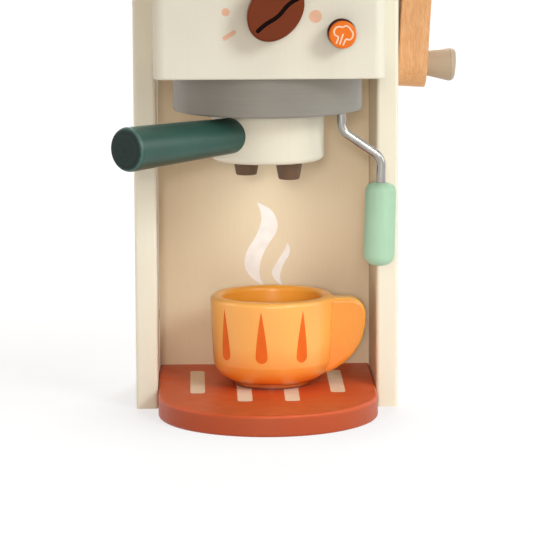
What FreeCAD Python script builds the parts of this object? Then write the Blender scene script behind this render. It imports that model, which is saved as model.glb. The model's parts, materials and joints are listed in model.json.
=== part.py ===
import FreeCAD, Part
import math
import os

os.makedirs("parts", exist_ok=True)

Vector = FreeCAD.Vector

# A wooden toy coffee maker. All sizes are in millimetres.
# X runs to the right, Y to the back and Z up, for someone who stands in front of it.
# The origin lies on the floor, midway between the side panels, in line with their front edges.

# Fits
glue_gap = 0.05             # round a glued dowel, a screw or a plug, on the radius
running_gap = 0.08          # round an axle that turns in wood, on the radius
face_gap = 0.25             # between two flat faces that turn on each other
drill_relief = 0.5          # depth that a blind hole has beyond what sits in it

# Frame
board = 12.0                # thickness of every painted board
inner_width = 120.0         # between the side panels
frame_depth = 80.5          # side panels, front to back
frame_height = 265.0
board_round = 2.0           # rounded edges of the side panels
back_gap = 0.25             # each side of the back panel

# Head box
head_floor = 189.6          # height of its underside
head_reach = 86.6           # how far it stands out in front of the side panels
head_corner_round = 6.0     # its upright front corners
head_face_round = 1.2       # the edge round its front face

# Dowels that join the boards
dowel_radius = 3.0
dowel_bite = 8.0            # depth in each of the two pieces
back_dowel_inset = 40.0     # of the lowest and highest back dowels
cheek_dowel_inset = 18.0    # from the front and back edges of the side panels
front_dowel_inset = 17.0    # from the head's underside and top
board_dowel_front = 36.0    # from the back of the head's front board
board_dowel_back = 28.0     # from the back panel
tray_dowel_spacing = 70.0

# Drip tray
tray_thickness = 11.8
tray_gap = 0.3              # to the panels on both sides and at the back
tray_straight = 20.2        # straight sides in front of the side panels
tray_round = 1.5

# Group disc under the head
group_y = -32.0             # centre of the disc and of the filter holder
disc_radius = 50.3
disc_thickness = 20.7
disc_round = 1.2
disc_screw_circle = 34.0    # radius on which its screws lie
disc_screw_count = 3
disc_screw_first = 30.0     # degrees, from the right, of the first of them
disc_screw_bite = 14.0

# Filter holder
filter_radius = 30.0
filter_height = 26.8
filter_bottom_round = 3.0
filter_top_round = 0.8
filter_axle_radius = 6.0
filter_axle_bite = 14.0
stop_circle = 20.0          # radius on which the stop pin lies
stop_pin_radius = 2.0
stop_pin_length = 12.0
stop_pin_drop = 3.0         # how far the pin stands out of the disc
stop_side_gap = 0.5         # round the pin in its groove
swing_left = 45.0           # degrees from the rest place, towards the left side
swing_front = 42.0          # degrees from the rest place, towards the front

# Handle of the filter holder
handle_angle = 42.0         # degrees to the left of straight ahead, at rest
handle_drop = 11.9          # axis below the disc
handle_root_radius = 9.25
handle_end_radius = 11.6
handle_end = 111.0          # from the axle to the free end
handle_end_round = 3.2
handle_dowel_radius = 4.0
handle_dowel_bite = 13.0
handle_cone_start = 24.0    # where its cone begins, before the body's round is cut out of it

# Spouts
spout_spacing = 30.0
spout_top_radius = 7.25
spout_tip_radius = 5.5
spout_length = 9.5
spout_tip_round = 0.8
spout_tenon_radius = 4.0
spout_tenon_length = 8.0

# Steam wand
wand_x = 38.5
wand_y = -54.0
wand_radius = 2.35
wand_bend_drop = 9.4        # first bend below the disc
wand_reach = 21.1           # sideways, between the two bends
wand_fall = 14.6            # downwards, between the two bends
wand_bend_radius = 8.0
wand_tip = 3.0              # length of rod above the collar
wand_lean = 1.4             # degrees by which the lower end leans inwards
wand_grip_drop = 13.4       # from the second bend to the top of the grip
wand_plug = 30.0            # length of rod inside the grip
grip_radius = 8.2
grip_length = 44.0
grip_top_round = 4.6
grip_bottom_round = 6.0
collar_radius = 6.0
collar_height = 8.0
collar_screw_radius = 1.5
collar_socket_radius = 0.75
collar_socket_depth = 1.0

# Bean knob
knob_x = 3.0
knob_drop = 1.3             # below the middle of the head's front
bean_half_length = 17.1
bean_half_width = 13.05
bean_thickness = 14.7
bean_angle = 53.0           # degrees, long axis above the horizontal
bean_round = 1.1
bean_groove_width = 2.2
bean_groove_depth = 1.0
bean_groove_start = (-9.2, -10.2)
bean_groove_heading = 46.0
bean_groove_bends = ((28.0, -18.0), (17.6, 26.0), (17.2, -30.0))
knob_axle_radius = 4.0
knob_axle_bite = 9.0

# Steam button
button_x = 37.1
button_rise = 23.9          # above the head's underside
button_radius = 7.1
button_proud = 13.0         # in front of the head
button_sunk = 3.8           # inside its well
button_round = 1.0
button_travel = 3.5
button_side_gap = 0.35
button_hollow_depth = 5.0
stem_radius = 3.0
stem_bite = 5.5
spring_radius = 4.3         # to the middle of the wire
spring_wire = 0.4           # radius of the wire
spring_turns = 5.0
spring_end_gap = 0.05

# Crank
crank_inset = 28.5          # its axle in front of the back panel
crank_drop = 25.0           # its axle below the top of the frame
crank_throw = 53.0          # from its axle to the knob
crank_width = 27.0
crank_thickness = 16.4
crank_round = 1.0
crank_lean = 3.4            # degrees, towards the side panel at the knob
crank_spacer = 4.0          # thickness of the ring between panel and arm
crank_spacer_radius = 10.0
crank_axle_radius = 5.0
crank_axle_bite = 11.0
crank_knob_length = 15.8
crank_knob_root_radius = 6.95
crank_knob_end_radius = 9.8
crank_knob_round = 3.0
crank_knob_sink = 4.5       # depth of the recess for the screw's head
crank_knob_screw_radius = 2.0
crank_knob_screw_bite = 11.0
crank_recess_gap = 0.35     # round the screw's head in the recess

# Screws and washers
axle_screw_radius = 2.0
axle_screw_length = 16.0
small_screw_radius = 1.25
small_screw_length = 9.0
head_to_shank = 2.0         # a screw head's radius over its shank's
head_flatness = 1.2         # a screw head's height over its shank's radius
head_edge_share = 0.6       # of its height, the round of its edge
cross_depth_share = 0.55    # of its height, the depth of its cross
cross_width_share = 0.7     # of its shank's radius, the width of one arm of the cross
tip_share = 0.3             # of its shank's radius, the radius of its tip
washer_thickness = 1.5
washer_bore_gap = 0.2
filter_washer_radius = 12.0
knob_washer_radius = 8.0
button_washer_radius = 5.5
crank_washer_radius = 9.0
wand_washer_radius = 6.5

# How far a cutting body runs on beyond what it cuts
overrun = 1.0

# Cup
cup_x = 3.0
cup_y = 11.0
cup_height = 50.0
cup_mouth_radius = 34.0
cup_belly_radius = 32.3
cup_belly_height = 13.5
cup_belly_bulge = 2.7       # of the curve that leads from the foot to the belly
cup_foot_radius = 20.5
cup_foot_height = 2.6
cup_foot_step = 0.6
cup_wall = 6.3
cup_floor = 10.0
cup_taper = 1.7             # the hollow's radius is this much less at its floor
cup_floor_round = 6.0
cup_rim_round = 2.7
fin_reach = 51.5            # from the cup's axis
fin_top_drop = 1.8          # below the rim
fin_corner = 9.0
fin_straight = 2.5
fin_sweep = 32.0            # radius of the lower curve
fin_thickness = 12.0
fin_round = 2.4
fin_dowel_radius = 2.0
fin_dowel_bite = 4.0        # in the cup's wall
fin_dowel_length = 13.0
fin_dowel_spacing = 15.0

# Places that follow from the sizes above
half_gap = inner_width / 2
panel_outside = half_gap + board
back_front = frame_depth - board
head_front = -head_reach
head_front_back = head_front + board
cheek_inside = half_gap - board
head_floor_top = head_floor + board
head_roof = frame_height - board
head_middle = (head_floor + frame_height) / 2
knob_z = head_middle - knob_drop
button_z = head_floor + button_rise
crank_y = back_front - crank_inset
crank_z = frame_height - crank_drop
disc_bottom = head_floor - disc_thickness
filter_top = disc_bottom - face_gap
filter_bottom = filter_top - filter_height
spring_seat = head_front + button_sunk + button_travel + face_gap


near = 1e-4                 # places closer than this are the same

RIGHT = Vector(1, 0, 0)
LEFT = Vector(-1, 0, 0)
BACK = Vector(0, 1, 0)
UP = Vector(0, 0, 1)


def box(x, y, z):
    """A block between two x values, two y values and two z values."""
    corner = Vector(x[0], y[0], z[0])
    return Part.makeBox(x[1] - x[0], y[1] - y[0], z[1] - z[0], corner)


def bar(radius, start, end):
    """A round bar from one point to another."""
    axis = end - start
    return Part.makeCylinder(radius, axis.Length, start, axis)


def ring(outer, inner, start, end):
    """A round bar with a hole along it."""
    return bar(outer, start, end).cut(bar(inner, start, end))


def is_circle(edge, radius, place, axis):
    """True for a circle of this radius that lies at this place along an axis."""
    curve = edge.Curve
    if not isinstance(curve, Part.Circle):
        return False
    return abs(curve.Radius - radius) < near and abs(curve.Center.dot(axis) - place) < near


def round_circle(solid, radius, place, size, axis=UP):
    """Round off one circular edge of a turned solid."""
    return solid.makeFillet(size, [e for e in solid.Edges if is_circle(e, radius, place, axis)])


def spans(edge, axis):
    """Length of an edge's box along an axis, 0 for x, 1 for y and 2 for z."""
    bounds = edge.BoundBox
    return (bounds.XLength, bounds.YLength, bounds.ZLength)[axis]


def middle(edge, axis):
    """Middle of an edge's box along an axis."""
    centre = edge.BoundBox.Center
    return (centre.x, centre.y, centre.z)[axis]


def edges_in_plane(solid, axis, place):
    """All edges that lie in one plane square to an axis."""
    flat = [e for e in solid.Edges if spans(e, axis) < near]
    return [e for e in flat if abs(middle(e, axis) - place) < near]


def dowels(points, direction, radius=dowel_radius, bites=(dowel_bite, dowel_bite)):
    """Dowels centred on a seam, with the holes that they are glued into."""
    pins = []
    holes = []
    for point in points:
        start = point - direction * bites[0]
        end = point + direction * bites[1]
        pins.append(bar(radius, start, end))
        relief = direction * drill_relief
        holes.append(bar(radius + glue_gap, start - relief, end + relief))
    return Part.makeCompound(pins), Part.makeCompound(holes)


def screw(seat, outward, radius, length):
    """A cross-head screw whose head sits on a seat and points outward."""
    head_radius = radius * head_to_shank
    head_height = radius * head_flatness
    head = Part.makeCylinder(head_radius, head_height)
    head = round_circle(head, head_radius, head_height, head_height * head_edge_share)
    shank = Part.makeCylinder(radius, length - radius, Vector(0, 0, radius - length))
    point = Part.makeCone(radius * tip_share, radius, radius, Vector(0, 0, -length))
    solid = head.fuse(shank).fuse(point).removeSplitter()
    slot = radius * cross_width_share
    for length_x, length_y in ((radius * 2, slot), (slot, radius * 2)):
        recess = Part.makeBox(length_x, length_y, head_height)
        recess.translate(Vector(-length_x / 2, -length_y / 2, head_height * (1 - cross_depth_share)))
        solid = solid.cut(recess)
    solid.Placement = FreeCAD.Placement(seat, FreeCAD.Rotation(UP, outward))
    return solid


def pilot(seat, outward, radius, length):
    """The hole that a screw is driven into, from its seat inwards."""
    return bar(radius + glue_gap, seat, seat - outward * (length + drill_relief))


def tangent_arc(centre, radius, start_angle, end_angle):
    """An arc in the XZ plane between two angles in degrees."""
    points = []
    for angle in (start_angle, (start_angle + end_angle) / 2, end_angle):
        turn = math.radians(angle)
        points.append(centre + Vector(math.cos(turn), 0, math.sin(turn)) * radius)
    return Part.Arc(*points).toShape()


# Seams between the boards, with their dowels

def both_sides(x, places):
    """The same places on the left and on the right."""
    return [Vector(side * x, y, z) for side in (-1, 1) for y, z in places]


back_middle = (back_front + frame_depth) / 2
back_dowel_heights = (back_dowel_inset, frame_height / 2, frame_height - back_dowel_inset)
back_places = both_sides(half_gap, [(back_middle, z) for z in back_dowel_heights])
back_pins, back_holes = dowels(back_places, RIGHT)

cheek_dowel_depths = (cheek_dowel_inset, back_front - cheek_dowel_inset)
cheek_places = both_sides(half_gap, [(y, head_middle) for y in cheek_dowel_depths])
cheek_pins, cheek_holes = dowels(cheek_places, RIGHT)

cheek_middle = half_gap - board / 2
front_dowel_heights = (head_floor + front_dowel_inset, frame_height - front_dowel_inset)
front_places = both_sides(cheek_middle, [(head_front_back, z) for z in front_dowel_heights])
front_pins, front_holes = dowels(front_places, BACK)

board_dowel_depths = (head_front_back + board_dowel_front, back_front - board_dowel_back)
board_heights = (head_floor + board / 2, frame_height - board / 2)
head_places = [(y, z) for y in board_dowel_depths for z in board_heights]
head_pins, head_holes = dowels(both_sides(cheek_inside, head_places), RIGHT)

tray_back = back_front - tray_gap
tray_places = both_sides(tray_dowel_spacing / 2, [(back_front, tray_thickness / 2)])
tray_pins, tray_holes = dowels(tray_places, BACK)


# Axes on which things turn or slide

filter_axis = Vector(0, group_y, 0)
wand_axis = Vector(wand_x, wand_y, 0)
knob_axis = Vector(knob_x, 0, knob_z)
button_axis = Vector(button_x, 0, button_z)
crank_axis = Vector(0, crank_y, crank_z)


def on(axis, along):
    """A point on an axis, moved along by a vector."""
    return axis + along


def group_bores():
    """The bores of the filter holder's axle and the wand, through disc and head floor."""
    low = UP * (disc_bottom - overrun)
    high = UP * (head_floor_top + overrun)
    axle = bar(filter_axle_radius + running_gap, on(filter_axis, low), on(filter_axis, high))
    wand = bar(wand_radius + running_gap, on(wand_axis, low), on(wand_axis, high))
    return axle.fuse(wand)


def disc_screw_seats():
    """Where the heads of the disc's screws sit, inside the head."""
    seats = []
    for index in range(disc_screw_count):
        turn = math.radians(disc_screw_first + 360 / disc_screw_count * index)
        seats.append(Vector(math.cos(turn), math.sin(turn), 0) * disc_screw_circle)
    return [filter_axis + seat + UP * head_floor_top for seat in seats]


def crank_bore():
    """The bore of the crank's axle through the side panel and the cheek."""
    start = on(crank_axis, RIGHT * (cheek_inside - overrun))
    end = on(crank_axis, RIGHT * (panel_outside + overrun))
    return bar(crank_axle_radius + running_gap, start, end)


# Frame

def side_panel(side):
    """An upright board, side -1 on the left and 1 on the right."""
    faces = sorted((side * half_gap, side * panel_outside))
    panel = box(faces, (0, frame_depth), (0, frame_height))
    rounded = [e for e in panel.Edges if e.BoundBox.ZMax > board_round]
    panel = panel.makeFillet(board_round, rounded)
    return panel.cut(back_holes).cut(cheek_holes).cut(crank_bore())


def back_panel():
    """The board between the side panels, which carries the tray."""
    reach = half_gap - back_gap
    panel = box((-reach, reach), (back_front, frame_depth), (0, frame_height))
    return panel.cut(back_holes).cut(tray_holes)


def drip_tray():
    """A D-shaped board with a half-round front."""
    reach = half_gap - tray_gap
    slab = box((-reach, reach), (-tray_straight, tray_back), (0, tray_thickness))
    nose = Part.makeCylinder(reach, tray_thickness, Vector(0, -tray_straight, 0))
    tray = slab.fuse(nose).removeSplitter()
    rim = edges_in_plane(tray, 2, tray_thickness) + edges_in_plane(tray, 2, 0)
    rim = [e for e in rim if e.BoundBox.YMin < tray_back - near]
    return tray.makeFillet(tray_round, rim).cut(tray_holes)


# Head box

def head_cheek(side):
    """A side board of the head, glued to the inside of a side panel."""
    faces = sorted((side * cheek_inside, side * half_gap))
    cheek = box(faces, (head_front_back, back_front), (head_floor, frame_height))
    return cheek.cut(cheek_holes).cut(front_holes).cut(head_holes).cut(crank_bore())


def head_front_panel():
    """The front board of the head, with the knob's bore and the button's well."""
    panel = box((-half_gap, half_gap), (head_front, head_front_back), (head_floor, frame_height))
    upright = [e for e in panel.Edges if spans(e, 2) > board]
    corners = [e for e in upright if middle(e, 1) < head_front + near]
    panel = panel.makeFillet(head_corner_round, corners)
    panel = panel.makeFillet(head_face_round, edges_in_plane(panel, 1, head_front))
    before = BACK * (head_front - overrun)
    behind = BACK * (head_front_back + overrun)
    well_floor = BACK * spring_seat
    well_radius = button_radius + button_side_gap
    knob_bore = bar(knob_axle_radius + running_gap, on(knob_axis, before), on(knob_axis, behind))
    well = bar(well_radius, on(button_axis, before), on(button_axis, well_floor))
    stem_bore = bar(stem_radius + running_gap, on(button_axis, before), on(button_axis, behind))
    return panel.cut(knob_bore).cut(well).cut(stem_bore).cut(front_holes)


def head_floor_board():
    """The lower board of the head, to which the group disc is screwed."""
    depth = (head_front_back, back_front)
    floor = box((-cheek_inside, cheek_inside), depth, (head_floor, head_floor_top))
    floor = floor.cut(head_holes).cut(group_bores())
    for seat in disc_screw_seats():
        floor = floor.cut(pilot(seat, UP, axle_screw_radius, board))
    return floor


def head_top_board():
    """The upper board of the head."""
    depth = (head_front_back, back_front)
    top = box((-cheek_inside, cheek_inside), depth, (head_roof, frame_height))
    return top.cut(head_holes)


# Group disc

stop_pin_top = disc_bottom + stop_pin_length - stop_pin_drop
stop_pin_place = on(filter_axis, BACK * stop_circle)


def group_disc():
    """The thick grey disc under the head."""
    disc = Part.makeCylinder(disc_radius, disc_thickness, on(filter_axis, UP * disc_bottom))
    disc = round_circle(disc, disc_radius, disc_bottom, disc_round)
    disc = disc.cut(group_bores())
    for seat in disc_screw_seats():
        disc = disc.cut(pilot(seat, UP, axle_screw_radius, board + disc_screw_bite))
    pin_hole_start = stop_pin_place + UP * (disc_bottom - overrun)
    pin_hole_end = stop_pin_place + UP * (stop_pin_top + drill_relief)
    return disc.cut(bar(stop_pin_radius + glue_gap, pin_hole_start, pin_hole_end))


def group_disc_screws():
    """The screws that hold the disc, driven down from inside the head."""
    length = board + disc_screw_bite
    screws = [screw(seat, UP, axle_screw_radius, length) for seat in disc_screw_seats()]
    return Part.makeCompound(screws)


def stop_pin():
    """The pin that ends the filter holder's swing."""
    bottom = UP * (disc_bottom - stop_pin_drop)
    return bar(stop_pin_radius, stop_pin_place + bottom, stop_pin_place + UP * stop_pin_top)


# Filter holder

handle_turn = math.radians(handle_angle)
handle_direction = Vector(-math.sin(handle_turn), -math.cos(handle_turn), 0)
spout_direction = Vector(math.cos(handle_turn), -math.sin(handle_turn), 0)
handle_axis = on(filter_axis, UP * (disc_bottom - handle_drop))
filter_axle_end = on(filter_axis, UP * (head_floor_top + face_gap))
filter_axle_foot = filter_top - filter_axle_bite
handle_seam = handle_axis + handle_direction * filter_radius
handle_pin, handle_holes = dowels(
    [handle_seam], handle_direction, handle_dowel_radius, (handle_dowel_bite, handle_dowel_bite))


def stop_groove():
    """The curved groove in the filter holder's top, in which the stop pin runs."""
    half_width = stop_pin_radius + stop_side_gap
    floor = disc_bottom - stop_pin_drop - drill_relief
    height = UP * (filter_top + overrun - floor)
    base = on(filter_axis, UP * floor)
    groove = ring(stop_circle + half_width, stop_circle - half_width, base, base + height)
    spare = math.degrees(half_width / stop_circle)
    low = 90 - swing_front - spare
    high = 90 + swing_left + spare
    reach = stop_circle + half_width + overrun
    sector = Part.makeCylinder(reach, height.Length, base, UP, high - low)
    sector.rotate(base, UP, low)
    return groove.common(sector)


def spout_places():
    """The middle of each spout's top, left one first."""
    under = on(filter_axis, UP * filter_bottom)
    return [under + spout_direction * (side * spout_spacing / 2) for side in (-1, 1)]


def portafilter_cup():
    """The round wooden body that hangs under the disc."""
    cup = Part.makeCylinder(filter_radius, filter_height, on(filter_axis, UP * filter_bottom))
    cup = round_circle(cup, filter_radius, filter_bottom, filter_bottom_round)
    cup = round_circle(cup, filter_radius, filter_top, filter_top_round)
    bore_floor = on(filter_axis, UP * (filter_axle_foot - drill_relief))
    bore_top = on(filter_axis, UP * (filter_top + overrun))
    bore = bar(filter_axle_radius + glue_gap, bore_floor, bore_top)
    cup = cup.cut(bore).cut(handle_holes).cut(stop_groove())
    for place in spout_places():
        tenon_hole = UP * (spout_tenon_length + drill_relief)
        cup = cup.cut(bar(spout_tenon_radius + glue_gap, place - UP, place + tenon_hole))
    return cup


def portafilter_handle():
    """The tapered handle, shaped at its root to the round body."""
    cone = Part.makeCone(
        handle_root_radius, handle_end_radius, handle_end - handle_cone_start,
        handle_axis + handle_direction * handle_cone_start, handle_direction)
    end_place = (handle_axis + handle_direction * handle_end).dot(handle_direction)
    cone = round_circle(cone, handle_end_radius, end_place, handle_end_round, handle_direction)
    below = on(filter_axis, UP * (filter_bottom - overrun))
    body = bar(filter_radius, below, on(filter_axis, UP * disc_bottom))
    return cone.cut(body).cut(handle_holes)


def spout(place):
    """A cut cone with a tenon that goes up into the body."""
    tip = Part.makeCone(spout_tip_radius, spout_top_radius, spout_length)
    tip.translate(Vector(0, 0, -spout_length))
    tip = round_circle(tip, spout_tip_radius, -spout_length, spout_tip_round)
    tenon = Part.makeCylinder(spout_tenon_radius, spout_tenon_length)
    whole = tip.fuse(tenon)
    whole.translate(place)
    return whole


def portafilter_axle():
    """The dowel on which the filter holder turns."""
    axle = bar(filter_axle_radius, on(filter_axis, UP * filter_axle_foot), filter_axle_end)
    return axle.cut(pilot(filter_axle_end, UP, axle_screw_radius, axle_screw_length))


def end_washer(outer, screw_radius, seat, outward):
    """A washer that a screw holds on an axle's end."""
    return ring(outer, screw_radius + washer_bore_gap, seat, seat + outward * washer_thickness)


filter_screw_seat = filter_axle_end + UP * washer_thickness


# Steam wand

wand_washer_seat = on(wand_axis, UP * head_floor_top)
collar_seat = wand_washer_seat + UP * (washer_thickness + face_gap)
collar_screw_place = collar_seat + UP * (collar_height / 2)
wand_entry = collar_seat + UP * (collar_height + wand_tip)
wand_bend_one = on(wand_axis, UP * (disc_bottom - wand_bend_drop))
wand_bend_two = wand_bend_one + Vector(wand_reach, 0, -wand_fall)
wand_turn = math.radians(wand_lean)
wand_down = Vector(-math.sin(wand_turn), 0, -math.cos(wand_turn))
grip_top = wand_bend_two + wand_down * wand_grip_drop


def bent_path(points, radius):
    """Straight runs through the points, joined by arcs of one radius."""
    edges = []
    start = points[0]
    for before, corner, after in zip(points, points[1:], points[2:]):
        back = (before - corner).normalize()
        ahead = (after - corner).normalize()
        half_opening = back.getAngle(ahead) / 2
        trim = radius / math.tan(half_opening)
        centre = corner + (back + ahead).normalize() * (radius / math.sin(half_opening))
        crown = centre + (corner - centre).normalize() * radius
        arc_start = corner + back * trim
        arc_end = corner + ahead * trim
        edges.append(Part.LineSegment(start, arc_start).toShape())
        edges.append(Part.Arc(arc_start, crown, arc_end).toShape())
        start = arc_end
    edges.append(Part.LineSegment(start, points[-1]).toShape())
    return Part.Wire(edges)


def steam_rod():
    """The bent metal rod, from inside the head down into its grip."""
    end = grip_top + wand_down * wand_plug
    path = bent_path([wand_entry, wand_bend_one, wand_bend_two, end], wand_bend_radius)
    section = Part.Wire(Part.makeCircle(wand_radius, wand_entry, UP))
    return path.makePipeShell([section], True, False)


def wand_grip():
    """The wooden grip that is glued on the rod's lower end."""
    grip = Part.makeCylinder(grip_radius, grip_length)
    grip = round_circle(grip, grip_radius, 0, grip_top_round)
    grip = round_circle(grip, grip_radius, grip_length, grip_bottom_round)
    hole = Part.makeCylinder(wand_radius + glue_gap, wand_plug + drill_relief)
    grip = grip.cut(hole)
    grip.Placement = FreeCAD.Placement(grip_top, FreeCAD.Rotation(UP, wand_down))
    return grip


def wand_washer():
    """The washer under the collar."""
    top = wand_washer_seat + UP * washer_thickness
    return ring(wand_washer_radius, wand_radius + running_gap, wand_washer_seat, top)


def wand_collar():
    """The collar that keeps the rod from dropping out."""
    collar = ring(collar_radius, wand_radius + glue_gap, collar_seat, collar_seat + UP * collar_height)
    outside = collar_screw_place + BACK * (collar_radius + overrun)
    return collar.cut(bar(collar_screw_radius + glue_gap, collar_screw_place, outside))


def wand_collar_screw():
    """The grub screw that clamps the collar on the rod."""
    start = collar_screw_place + BACK * (wand_radius + glue_gap)
    end = collar_screw_place + BACK * (collar_radius - glue_gap)
    grub = bar(collar_screw_radius, start, end)
    socket = bar(collar_socket_radius, end - BACK * collar_socket_depth, end)
    return grub.cut(socket)


# Bean knob

bean_back = head_front - face_gap
bean_front = bean_back - bean_thickness
knob_axle_end = head_front_back + face_gap


def ribbon(start, heading, bends, width):
    """A closed outline of even width along arcs that run smoothly into each other."""
    left_edges = []
    right_edges = []
    point = Vector(start[0], 0, start[1])
    start_cap = tangent_arc(point, width / 2, heading + 90, heading + 270)
    for radius, turn in bends:
        side = 1 if turn > 0 else -1
        centre = point + direction_at(heading + 90 * side) * radius
        from_angle = heading - 90 * side
        to_angle = from_angle + turn
        left_edges.append(tangent_arc(centre, radius - side * width / 2, from_angle, to_angle))
        right_edges.append(tangent_arc(centre, radius + side * width / 2, from_angle, to_angle))
        heading = heading + turn
        point = centre + direction_at(to_angle) * radius
    end_cap = tangent_arc(point, width / 2, heading - 90, heading + 90)
    outline = Part.sortEdges(left_edges + right_edges + [start_cap, end_cap])[0]
    return Part.Wire(outline)


def direction_at(angle):
    """A unit vector in the XZ plane, at an angle in degrees above X."""
    turn = math.radians(angle)
    return Vector(math.cos(turn), 0, math.sin(turn))


def bean_knob():
    """The bean-shaped knob with its winding groove."""
    flat = Part.Ellipse(Vector(0, 0, 0), bean_half_length, bean_half_width).toShape()
    bean = Part.Face(Part.Wire(flat)).extrude(UP * bean_thickness)
    rims = edges_in_plane(bean, 2, 0) + edges_in_plane(bean, 2, bean_thickness)
    bean = bean.makeFillet(bean_round, rims)
    bean.rotate(Vector(0, 0, 0), UP, bean_angle)
    bean.rotate(Vector(0, 0, 0), RIGHT, 90)
    outline = ribbon(bean_groove_start, bean_groove_heading, bean_groove_bends, bean_groove_width)
    groove = Part.Face(outline).extrude(BACK * (bean_groove_depth + overrun))
    groove.translate(BACK * (-bean_thickness - overrun))
    bean = bean.cut(groove)
    bean.translate(knob_axis + BACK * bean_back)
    hole_start = on(knob_axis, BACK * (bean_back + overrun))
    hole_end = on(knob_axis, BACK * (bean_back - knob_axle_bite - drill_relief))
    return bean.cut(bar(knob_axle_radius + glue_gap, hole_start, hole_end))


def knob_axle():
    """The dowel on which the bean turns."""
    front = on(knob_axis, BACK * (bean_back - knob_axle_bite))
    end = on(knob_axis, BACK * knob_axle_end)
    return bar(knob_axle_radius, front, end).cut(pilot(end, BACK, axle_screw_radius, axle_screw_length))


# Steam button

button_front = head_front - button_proud
button_back = head_front + button_sunk
button_hollow = button_back - button_hollow_depth
stem_front = button_hollow - stem_bite
stem_end = head_front_back + glue_gap


def button_cap():
    """The round cap, hollow at the back for its spring."""
    front = on(button_axis, BACK * button_front)
    cap = bar(button_radius, front, on(button_axis, BACK * button_back))
    cap = round_circle(cap, button_radius, button_front, button_round, BACK)
    spring_room = spring_radius + spring_wire + button_side_gap
    behind = on(button_axis, BACK * (button_back + overrun))
    hollow = bar(spring_room, on(button_axis, BACK * button_hollow), behind)
    hole_end = on(button_axis, BACK * (stem_front - drill_relief))
    return cap.cut(hollow).cut(bar(stem_radius + glue_gap, hole_end, behind))


def button_stem():
    """The dowel that guides the button through the head's front board."""
    end = on(button_axis, BACK * stem_end)
    stem = bar(stem_radius, on(button_axis, BACK * stem_front), end)
    return stem.cut(pilot(end, BACK, small_screw_radius, small_screw_length))


def coil_point(turn, pitch):
    """A point on the middle line of the spring, so many turns from its start."""
    angle = 2 * math.pi * turn
    return Vector(math.cos(angle) * spring_radius, math.sin(angle) * spring_radius, pitch * turn)


def button_spring():
    """A coil spring between the floor of the well and the cap, as quarter turns."""
    length = spring_seat - button_hollow - 2 * (spring_wire + spring_end_gap)
    pitch = length / spring_turns
    quarters = []
    for index in range(round(spring_turns * 4)):
        turns = (index / 4, (index + 0.5) / 4, (index + 1) / 4)
        quarters.append(Part.Arc(*[coil_point(turn, pitch) for turn in turns]).toShape())
    rise = Vector(0, 2 * math.pi * spring_radius, pitch)
    section = Part.Wire(Part.makeCircle(spring_wire, coil_point(0, pitch), rise))
    coil = Part.Wire(quarters).makePipeShell([section], True, False)
    coil.rotate(Vector(0, 0, 0), RIGHT, -90)
    coil.translate(on(button_axis, BACK * (button_hollow + spring_wire + spring_end_gap)))
    return coil


# Crank

crank_face = panel_outside + crank_spacer + 2 * face_gap
crank_hub = on(crank_axis, RIGHT * crank_face)
crank_end = crank_hub - UP * crank_throw
crank_outer_face = RIGHT * crank_thickness
crank_knob_seat = crank_end + crank_outer_face + RIGHT * face_gap


def leaned(solid):
    """Lean a piece of the crank in towards the side panel, round the crank's hub."""
    solid.rotate(crank_hub, BACK, crank_lean)
    return solid


def crank_arm():
    """The flat arm with round ends."""
    half = crank_width / 2
    beam = box(
        (crank_face, crank_face + crank_thickness),
        (crank_y - half, crank_y + half),
        (crank_z - crank_throw, crank_z))
    arm = beam
    for centre in (crank_hub, crank_end):
        arm = arm.fuse(bar(half, centre, centre + crank_outer_face))
    arm = arm.removeSplitter()
    rims = edges_in_plane(arm, 0, crank_face) + edges_in_plane(arm, 0, crank_face + crank_thickness)
    arm = arm.makeFillet(crank_round, rims)
    screw_hole = bar(
        crank_knob_screw_radius + glue_gap,
        crank_end + RIGHT * (crank_thickness - crank_knob_screw_bite - drill_relief),
        crank_end + RIGHT * (crank_thickness + overrun))
    arm = leaned(arm.cut(screw_hole))
    # The arm leans but its axle is level, so both the axle's hole and the ring's seat are level.
    axle_hole = bar(
        crank_axle_radius + glue_gap,
        crank_hub - RIGHT * board,
        crank_hub + RIGHT * (crank_axle_bite + drill_relief))
    seat_cut = bar(crank_spacer_radius + overrun, crank_hub - RIGHT * board, crank_hub)
    return arm.cut(axle_hole).cut(seat_cut)


def crank_spacer_ring():
    """The ring that keeps the arm off the side panel."""
    start = on(crank_axis, RIGHT * (panel_outside + face_gap))
    return ring(crank_spacer_radius, crank_axle_radius + running_gap, start, start + RIGHT * crank_spacer)


crank_axle_start = on(crank_axis, RIGHT * (cheek_inside - face_gap))


def crank_axle():
    """The dowel on which the crank turns."""
    axle = bar(crank_axle_radius, crank_axle_start, crank_hub + RIGHT * crank_axle_bite)
    return axle.cut(pilot(crank_axle_start, LEFT, axle_screw_radius, axle_screw_length))


def crank_knob():
    """The conical grip that spins on its screw."""
    knob = Part.makeCone(
        crank_knob_root_radius, crank_knob_end_radius, crank_knob_length, crank_knob_seat, RIGHT)
    end = crank_knob_seat + RIGHT * crank_knob_length
    knob = round_circle(knob, crank_knob_end_radius, end.x, crank_knob_round, RIGHT)
    beyond = end + RIGHT * overrun
    bore = bar(crank_knob_screw_radius + running_gap, crank_knob_seat + LEFT * overrun, beyond)
    head_radius = crank_knob_screw_radius * head_to_shank
    recess = bar(head_radius + crank_recess_gap, end + LEFT * crank_knob_sink, beyond)
    return leaned(knob.cut(bore).cut(recess))


def crank_knob_screw():
    """The screw that carries the crank's grip."""
    seat = crank_knob_seat + RIGHT * (crank_knob_length - crank_knob_sink + face_gap)
    tip = crank_end + RIGHT * (crank_thickness - crank_knob_screw_bite)
    return leaned(screw(seat, RIGHT, crank_knob_screw_radius, (seat - tip).Length))


# Cup

cup_base = Vector(cup_x, cup_y, tray_thickness)
fin_top = cup_height - fin_top_drop
fin_arc_height = fin_top - fin_corner - fin_straight


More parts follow.
